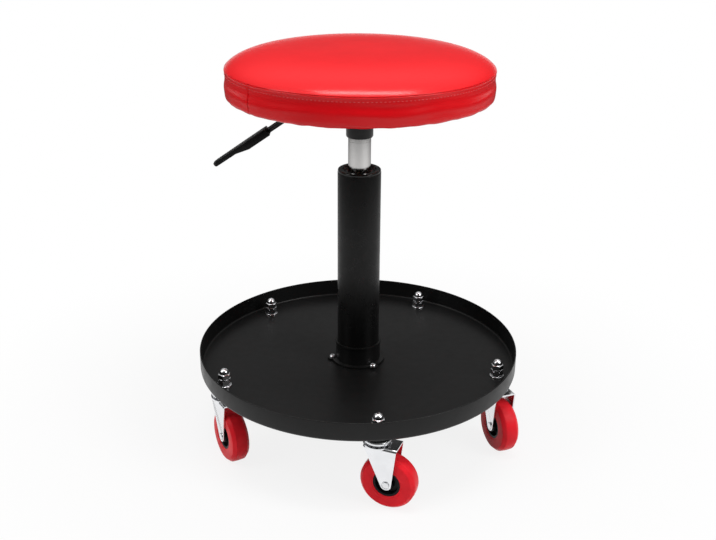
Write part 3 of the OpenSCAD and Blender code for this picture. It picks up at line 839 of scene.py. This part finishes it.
class WORKSEAT_OT_stitches(Operator):
    """Sews a row of stitches under the top seam"""

    bl_idname = "workseat.stitches"
    bl_label = "Stitches"

    def execute(self, context):
        s = look("cover")
        cover = bpy.data.objects["seat_cover_vinyl"]
        tree = BVHTree.FromObject(cover, context.evaluated_depsgraph_get())
        height = seam_height - s.stitch_drop
        thick, wide, proud = mm(0.34, 0.42, 0.08)
        count = int(FULL_TURN * seam_radius / s.pitch)
        bm = bmesh.new()
        for k in range(count):
            angle = FULL_TURN * (k + 0.5) / count
            out = Vector((cos(angle), sin(angle), 0))
            hit = tree.ray_cast(out * 2 * seat_radius + Vector((0, 0, height)), -out)[0]
            if hit is None:
                raise RuntimeError("the cover is missing where a stitch belongs")
            place = (Matrix.Translation(hit + out * proud) @ Matrix.Rotation(angle, 4, "Z")
                     @ Matrix.Diagonal((thick, s.stitch / 2, wide, 1)))
            bmesh.ops.create_uvsphere(bm, u_segments=6, v_segments=5, radius=1, matrix=place)
        add_piece("seat_stitches", bm, "seat", "red_vinyl", finish="red_thread")
        return {"FINISHED"}


class WORKSEAT_OT_seat_base(Operator):
    """Finishes the board, plate and fasteners under the seat"""

    bl_idname = "workseat.seat_base"
    bl_label = "Seat base"

    def execute(self, context):
        dressed("seat_board", "seat", 0.8 * MM, 3)
        for node, width in (("seat_plate", 0.4), ("plate_washers", 0.2), ("cover_staples", 0.2),
                            ("lever_bracket", 0.3), ("pivot_pin", 0.25)):
            dressed(node, "seat", width * MM)
        low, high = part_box("plate_bolts")
        washer_low, _ = heights("plate_washers")
        flat, shank, point = mm(10, 3, 0.6)
        cone = 0.95 * flat / 2
        six = hexagon(flat)
        bolt = ringed([
            (low.z, 0.0), (low.z, cone), corner_ring(low.z, six, cone, tan(radians(25))),
            (washer_low, six), (washer_low, shank), (high.z - point, shank), (high.z, shank - point),
            (high.z, 0.0),
        ])
        gap = high.x - six(0)
        places = [floor_place(x * gap, y * gap, 0) for x in (-1, 1) for y in (-1, 1)]
        add_piece("plate_bolt_set", repeated(bolt, places), "seat", "zinc", ["plate_bolts"])
        return {"FINISHED"}


# Gas lift and column


class WORKSEAT_OT_lift(Operator):
    """Turns the bright gas cylinder and the hub"""

    bl_idname = "workseat.lift"
    bl_label = "Gas lift"

    def execute(self, context):
        low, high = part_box("gas_cylinder")
        hub_low, _ = heights("taper_hub")
        r = high.x
        wall, taper, groove = mm(1.5, 0.7, 0.12)
        z = hub_low - 4.5 * MM
        outline = rounded([
            (r - wall, low.z, 0), (r, low.z, 0.4 * MM), (r, z - 2 * groove, 0),
            (r - groove, z - groove, 0), (r - groove, z + groove, 0), (r, z + 2 * groove, 0),
            (r, hub_low, 0), (r - taper, high.z, 0), (r - wall, high.z, 0),
        ])
        bm = spun(outline, 128)
        add_piece("lift_cylinder", bm, "seat", "cylinder_steel", ["gas_cylinder"], sharp=25)
        dressed("taper_hub", "seat", 0.5 * MM)
        return {"FINISHED"}


class WORKSEAT_OT_column(Operator):
    """Turns the column, its guide bush and its socket"""

    bl_idname = "workseat.column"
    bl_label = "Column"

    def execute(self, context):
        low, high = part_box("column_tube")
        r = high.x
        bore = radius_of("gas_cylinder") + 0.05 * MM
        inside = r - 1.8 * MM
        tube = rounded([
            (inside, low.z, 0), (r, low.z, 0.3 * MM), (r, high.z, 0.6 * MM), (inside, high.z, 0),
        ])
        add_piece("column_pipe", spun(tube, 160), "base", "column_paint", ["column_tube"])
        foot, top = heights("column_bush")
        rim = r - 0.3 * MM
        mouth = radius_of("gas_cylinder") + 6.5 * MM
        bush = rounded([
            (bore, foot, 0), (inside, foot, 0.5 * MM), (inside, high.z, 0),
            (rim, high.z + 0.02 * MM, 0.3 * MM), (rim, top, 1.5 * MM), (mouth, top, 0.9 * MM),
            (mouth - 0.6 * MM, top - 2.2 * MM, 0.5 * MM), (mouth - 1.9 * MM, top - 2.3 * MM, 0.4 * MM),
            (mouth - 2.9 * MM, top - 4.0 * MM, 0.8 * MM), (bore + 1.0 * MM, top - 5.2 * MM, 1.0 * MM),
            (bore, top - 7 * MM, 0.8 * MM),
        ], 5)
        add_piece("column_guide", spun(bush, 160), "base", "bush_plastic", ["column_bush"])
        dressed("column_socket", "base", 0.5 * MM, 3)
        dressed("socket_nuts", "base", 0.25 * MM)
        return {"FINISHED"}


class WORKSEAT_OT_screws(Operator):
    """Makes the small screws of the column's socket"""

    bl_idname = "workseat.screws"
    bl_label = "Socket screws"

    def execute(self, context):
        low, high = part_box("socket_screws")
        head_h, head_r, shank, point = mm(2.6, 4.2, 2.4, 0.4)
        seat = high.z - head_h
        angles = [radians(15 * k) for k in range(5)]
        dome = [(seat + head_h * sin(a), head_r * cos(a) ** 0.6) for a in angles]
        screw = ringed([
            (low.z, 0.0), (low.z, shank - point), (low.z + point, shank), (seat, shank),
            (seat, head_r - 0.2 * MM), *dome, (high.z, 1.7 * MM),
            (high.z - 0.1 * MM, cross_recess(1.5 * MM, 1.2 * MM)),
            (high.z - 1.1 * MM, cross_recess(1.0 * MM, 0.7 * MM)), (high.z - 1.3 * MM, 0.0),
        ])
        add_piece("socket_screw_set", repeated(screw, ear_places()), "base", "bright_screw",
                  ["socket_screws"])
        return {"FINISHED"}


def cross_recess(arm, waist):
    """Outline of a screwdriver's cross, as a radius for each angle."""
    return lambda a: waist + (arm - waist) * abs(cos(2 * a)) ** 6


def ear_places():
    """Places of the socket's screws. The CAD node has one in each third of a turn."""
    screws = [[], [], []]
    for v in frame["nodes"]["socket_screws"].data.vertices:
        third = atan2(v.co.y, v.co.x) % FULL_TURN // (FULL_TURN / 3)
        screws[int(third)].append(v.co)
    places = []
    for screw in screws:
        x, y = (min(p[k] for p in screw) / 2 + max(p[k] for p in screw) / 2 for k in range(2))
        places.append(floor_place(x, y, 7 * x / MM))  # each screw stopped at its own turn
    return places


# Tray and nuts


class WORKSEAT_OT_tray(Operator):
    """Presses the round tray"""

    bl_idname = "workseat.tray"
    bl_label = "Tray"

    def execute(self, context):
        s = look("metal")
        low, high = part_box("tray")
        r = high.x
        sheet, hole = mm(1.5, 12)
        outline = rounded([
            (hole, low.z, 0.3 * MM), (r, low.z, s.fillet + sheet), (r, high.z, s.rim),
            (r - sheet, high.z, s.rim), (r - sheet, low.z + sheet, s.fillet),
            (hole, low.z + sheet, 0.3 * MM),
        ], 6)
        add_piece("tray_pan", spun(outline, 192), "base", "tray_paint", ["tray"])
        return {"FINISHED"}


class WORKSEAT_OT_nuts(Operator):
    """Stacks a washer, nut, lock washer and cap nut on each caster stem"""

    bl_idname = "workseat.nuts"
    bl_label = "Nut stacks"

    def execute(self, context):
        bore, flat, washer_r, coil_r = mm(4, 13, 8.5, 7.3)
        lean = tan(radians(28))
        z0, z1 = heights("flat_washers")
        washer = spun(rounded([
            (bore, z0, 0.15 * MM), (washer_r, z0, 0.3 * MM), (washer_r, z1, 0.5 * MM),
            (bore, z1, 0.15 * MM),
        ], 3), 64)
        add_set("washer_set", washer, "bright_screw", "flat_washers")
        six = hexagon(flat)
        cone = 0.95 * flat / 2
        cut = 0.5 * MM
        z0, z1 = heights("hex_nuts")
        nut = ringed([
            (z0 + cut, bore), (z0, bore + cut), (z0, cone), corner_ring(z0, six, cone, lean),
            corner_ring(z1, six, cone, -lean), (z1, cone), (z1, bore + cut), (z1 - cut, bore),
        ])
        add_set("nut_set", nut, "bright_screw", "hex_nuts")
        rise = 0.12 * MM  # the lock washer is cut through and winds up a little
        z0, z1 = heights("lock_washers")
        z1 -= 0.15 * MM
        coil = spun(rounded([
            (bore, z0, 0.2 * MM), (coil_r, z0, 0.3 * MM), (coil_r, z1, 0.3 * MM), (bore, z1, 0.2 * MM),
        ], 2), 60, turn=radians(351), rise=rise)
        add_set("lock_washer_set", coil, "bright_screw", "lock_washers")
        z0, z1 = heights("cap_nuts")
        ball, neck = 5.7 * MM, z0 + 5.6 * MM
        dome = arc(0, z1 - ball, ball, 0, 90, 14)[:-1]
        cap = ringed([
            (z0, 0.0), (z0, cone), corner_ring(z0, six, cone, 0.3 * lean),
            corner_ring(neck, six, cone, -lean), (neck, cone), (neck, ball + 0.35 * MM),
            (neck + 0.15 * MM, ball + 0.08 * MM), *((z, r) for r, z in dome), (z1, 0.0),
        ], 60)
        add_set("cap_nut_set", cap, "cap_chrome", "cap_nuts")
        return {"FINISHED"}


# Casters


class WORKSEAT_OT_forks(Operator):
    """Finishes the swivel forks, their axles and their bearings"""

    bl_idname = "workseat.forks"
    bl_label = "Forks"

    def execute(self, context):
        s = look("metal")
        for i in CASTERS:
            dressed(f"fork_{i}", f"caster_{i}", s.edge)
            dressed(f"axle_{i}", f"caster_{i}", 0.4 * MM, 3)
        low, high = local_box("race_cups", stem_place(1))
        outer, inner, skirt, sheet = mm(15.5, 5, 1.4, 2)
        cup = spun(rounded([
            (inner, high.z, 0.2 * MM), (outer, high.z, 2.4 * MM), (outer, low.z, 0.6 * MM),
            (outer - skirt, low.z, 0.3 * MM), (outer - skirt, high.z - sheet, 0.6 * MM),
            (inner, high.z - sheet, 0),
        ], 6), 96)
        add_set("bearing_cup_set", cup, "zinc", "race_cups", sharp=50)
        dressed("caster_stems", "base", 0.3 * MM)
        dressed("spacer_nuts", "base", 0.4 * MM)
        dressed("stem_washers", "base", 0.15 * MM, 1)
        return {"FINISHED"}


def add_tread(i, place, r, inner, h, s):
    """A tread from its inner radius to r, h to either side of the wheel's middle."""
    dish, lip = 0.4 * MM, inner + 1.5 * MM
    rise, soft = s.shoulder, s.shoulder_round
    outline = rounded([
        (inner, dish - h, 0), (lip, dish - h, 0.2 * MM), (lip + dish, -h, 0.4 * MM),
        (r - rise, -h, soft), (r - s.crown, rise - h, soft), (r, 0, 0),
        (r - s.crown, h - rise, soft), (r - rise, h, soft), (lip + dish, h, 0.4 * MM),
        (lip, h - dish, 0.2 * MM), (inner, h - dish, 0),
    ], 4)
    bm = repeated(spun(outline, 112), [place])
    add_piece(f"tread_{i}", bm, f"wheel_{i}", "red_tread", [f"wheel_tread_{i}"])


def add_core(i, place, r, hub_half, half):
    """A core with a hub, a thin web and a rim that lies a little inside its tread."""
    bore, hub_r, web, rim = mm(3.05, 7, 4.5, 2.6)
    edge = half - 0.8 * MM
    side = [(bore, hub_half, 0.3 * MM), (hub_r, hub_half, 0.6 * MM), (hub_r + 0.6 * MM, web, 1.2 * MM),
            (r - rim - 0.5 * MM, web, 1.4 * MM), (r - rim, edge, 0.5 * MM), (r, edge, 0.3 * MM)]
    outline = rounded(side + [(x, -z, radius) for x, z, radius in reversed(side)], 4)
    bm = repeated(spun(outline, 96), [place])
    add_piece(f"core_{i}", bm, f"wheel_{i}", "core_plastic", [f"wheel_core_{i}"])


class WORKSEAT_OT_wheels(Operator):
    """Casts the red treads on their black cores"""

    bl_idname = "workseat.wheels"
    bl_label = "Wheels"

    def execute(self, context):
        s = look("wheel")
        for i in CASTERS:
            place = wheel_place(i)
            half = local_box(f"wheel_tread_{i}", place)[1].z
            hub = local_box(f"wheel_core_{i}", place)[1]
            add_tread(i, place, wheel_radius, hub.x, half, s)
            add_core(i, place, hub.x, hub.z, half)
        return {"FINISHED"}


# Lever


def add_ribs(s):
    """The cross ribs on the grip's upper face."""
    foot, top, sunk, soft = mm(0.7, 0.45, 0.3, 0.3)
    bm = bmesh.new()
    for k in range(s.ribs):
        x = -s.rib_start - s.rib_step * k
        rib = rounded([(x - foot, -sunk, 0), (x + foot, -sunk, 0),
                       (x + top, s.rib_height, soft), (x - top, s.rib_height, soft)], 3)
        face = bm.faces.new([bm.verts.new((x, -s.rib_width / 2, z)) for x, z in rib])
        out = bmesh.ops.extrude_face_region(bm, geom=[face])["geom"]
        bmesh.ops.translate(bm, vec=(0, s.rib_width, 0), verts=only(bmesh.types.BMVert, out))
    face_out(bm)
    bmesh.ops.transform(bm, matrix=grip_place(), verts=bm.verts)
    add_piece("grip_ribs", bm, "lever", "lever_plastic")


class WORKSEAT_OT_lever(Operator):
    """Finishes the release lever and its ribbed grip"""

    bl_idname = "workseat.lever"
    bl_label = "Release lever"

    def execute(self, context):
        s = look("grip")
        dressed("lever_rod", "lever", 0.3 * MM, 2, 50)
        grip = softened("lever_grip", 1.3 * MM, 4, 40)
        add_piece("grip_body", grip, "lever", "lever_plastic", ["lever_grip"], sharp=50)
        add_ribs(s)
        return {"FINISHED"}


def grip_place():
    """Place of the grip's upper face: at its tip, with +X along the lever and +Z up from the face."""
    face = max(frame["nodes"]["lever_grip"].data.polygons, key=lambda f: f.area)
    up = face.normal if face.normal.z > 0 else -face.normal
    slope = atan2(-up.x, up.z)
    turn = Matrix.Rotation(pi, 4, "Z") @ Matrix.Rotation(slope, 4, "Y")
    high = local_box("lever_grip", turn)[1]
    return turn @ Matrix.Translation((high.x, 0, high.z))


class WORKSEAT_OT_inner_parts(Operator):
    """Gives every CAD node that is still shown its material"""

    bl_idname = "workseat.inner_parts"
    bl_label = "Inner parts"

    def execute(self, context):
        for node, obj in frame["nodes"].items():
            if not obj.hide_render:
                slot = node_slots[node]
                obj.data.materials.clear()
                obj.data.materials.append(material_of(slot))
        return {"FINISHED"}


# Stage


def lay_floor(s):
    """Pale floor, white to the camera apart from the object's soft shadow. Far out its colour is darkened: painted
    shade that reflections and bounced light show.
    """
    bm = bmesh.new()
    bmesh.ops.create_circle(bm, cap_ends=True, radius=6, segments=96)
    material = bpy.data.materials.new("floor")
    obj = formed("floor", bm, material)
    g = Graph.emptied(material)
    spot = g.add("TexCoord").outputs["Object"]
    out_by = g.add("VectorMath", {0: spot}, operation="LENGTH").outputs["Value"]
    below = g.span(out_by, 1, 0, 0.33, 0.45, "SMOOTHSTEP")
    white = g.span(out_by, s.white, 1, 0.24, 0.62, "SMOOTHSTEP")
    share_white = g.math("MULTIPLY", white, g.seen_white(below))
    # painted shade: from 1.15 m to 1.6 m out the floor's colour is darkened to a small share of itself, a painted
    # falloff of light
    near = g.span(out_by, 1, s.far_floor_shade, 1.15, 1.6, "SMOOTHSTEP")
    falloff_shaded_tone = g.add("VectorMath", {0: tuple(s.floor), "Scale": near}, operation="SCALE").outputs[0]
    diffuse = g.add("BsdfDiffuse", {"Color": falloff_shaded_tone})
    glow = g.add("Emission")
    mix = g.add("MixShader", {0: share_white, 1: diffuse.outputs[0], 2: glow.outputs[0]})
    g.add("OutputMaterial", {"Surface": mix.outputs[0]})


def light_room(s):
    """White background over a grey room, which is darker behind the camera."""
    world = bpy.context.scene.world = bpy.data.worlds.new("studio")
    g = Graph.emptied(world)
    axis = g.add("SeparateXYZ", {0: g.add("TexCoord").outputs["Generated"]})
    high = g.span(axis.outputs["Z"], 0.35, 2.6, 0.25, 0.9, "SMOOTHSTEP")
    room = g.math("MULTIPLY", g.span(axis.outputs["Y"], 0.15, 1, -0.9, 0, "SMOOTHSTEP"), high)
    room = g.math("MULTIPLY", room, s.room)
    behind = g.span(axis.outputs["Y"], 0, 1, 0, 0.6, "SMOOTHSTEP")
    level = g.span(axis.outputs["Z"], 1, 0, 0, 0.05, "SMOOTHSTEP")
    white = g.seen_white(g.math("MULTIPLY", behind, level))
    strength = g.add("Mix", {"Factor": white, 2: room, 3: 1.0}, data_type="FLOAT")
    background = g.add("Background", {"Color": (1, 1, 1, 1), "Strength": strength.outputs[0]})
    g.add("OutputWorld", {"Surface": background.outputs[0]})


def add_lamp(name, power, place, aim, size):
    """An oblong light that points at a spot."""
    data = bpy.data.lights.new(name, "AREA")
    data.shape = "RECTANGLE"
    data.size, data.size_y = size
    data.energy = power
    obj = linked(name, data)
    obj.location = place
    obj.rotation_euler = (Vector(aim) - Vector(place)).to_track_quat("-Z", "Y").to_euler()


def place_camera(s):
    """The camera in front of the seat, turned by its pitch and roll."""
    data = bpy.data.cameras.new("camera")
    data.lens = s.lens
    data.sensor_width = 36
    data.shift_x, data.shift_y = s.aside, s.upward
    data.clip_start, data.clip_end = 0.05, 50
    ahead = Vector((0, cos(s.pitch), -sin(s.pitch)))
    level = Vector((1, 0, 0))
    upright = level.cross(ahead)
    right = level * cos(s.roll) + upright * sin(s.roll)
    up = upright * cos(s.roll) - level * sin(s.roll)
    turn = Matrix((right, up, -ahead)).transposed().to_4x4()
    obj = bpy.context.scene.camera = linked("camera", data)
    obj.matrix_world = Matrix.Translation((0, -s.distance, s.height)) @ turn


class WORKSEAT_OT_stage(Operator):
    """Lays the floor and sets the lights and the camera"""

    bl_idname = "workseat.stage"
    bl_label = "Stage"

    def execute(self, context):
        s = look("stage")
        lay_floor(s)
        light_room(s)
        add_lamp("overhead", s.overhead, (0.06, -0.2, 1.45), aim=(0.06, 0, 0.4), size=(0.9, 0.18))
        add_lamp("left", s.left, (-1.2, -0.5, 1.2), aim=(0, 0, 0.25), size=(0.7, 1.0))
        add_lamp("right", s.right, (1.2, -0.7, 1.25), aim=(0, 0, 0.25), size=(0.7, 1.0))
        place_camera(s)
        context.scene.view_settings.view_transform = "Standard"
        return {"FINISHED"}


class WORKSEAT_PT_panel(Panel):
    """Lists the pieces and the sizes and colours they are made from"""

    bl_idname = "WORKSEAT_PT_panel"
    bl_label = "Work Seat"
    bl_space_type = "VIEW_3D"
    bl_region_type = "UI"
    bl_category = "Work Seat"

    def draw(self, context):
        for operator in OPERATORS:
            self.layout.operator(operator.bl_idname)
        for group, fields in SETTINGS.items():
            box = self.layout.box()
            for field in fields.__annotations__:
                box.prop(look(group), field)


OPERATORS = (
    WORKSEAT_OT_stage, WORKSEAT_OT_cover, WORKSEAT_OT_foam, WORKSEAT_OT_stitches,
    WORKSEAT_OT_seat_base, WORKSEAT_OT_lift, WORKSEAT_OT_column, WORKSEAT_OT_screws,
    WORKSEAT_OT_tray, WORKSEAT_OT_nuts, WORKSEAT_OT_forks, WORKSEAT_OT_wheels,
    WORKSEAT_OT_lever, WORKSEAT_OT_inner_parts,
)
CLASSES = (*SETTINGS.values(), *OPERATORS, WORKSEAT_PT_panel)


def register():
    for cls in CLASSES:
        bpy.utils.register_class(cls)
    for group, fields in SETTINGS.items():
        setattr(bpy.types.Scene, look_name(group), PointerProperty(type=fields))


def unregister():
    for group in SETTINGS:
        delattr(bpy.types.Scene, look_name(group))
    for cls in reversed(CLASSES):
        bpy.utils.unregister_class(cls)


def main():
    register()
    for operator in OPERATORS:
        group, name = operator.bl_idname.split(".")
        getattr(getattr(bpy.ops, group), name)()


if __name__ == "__main__":
    main()
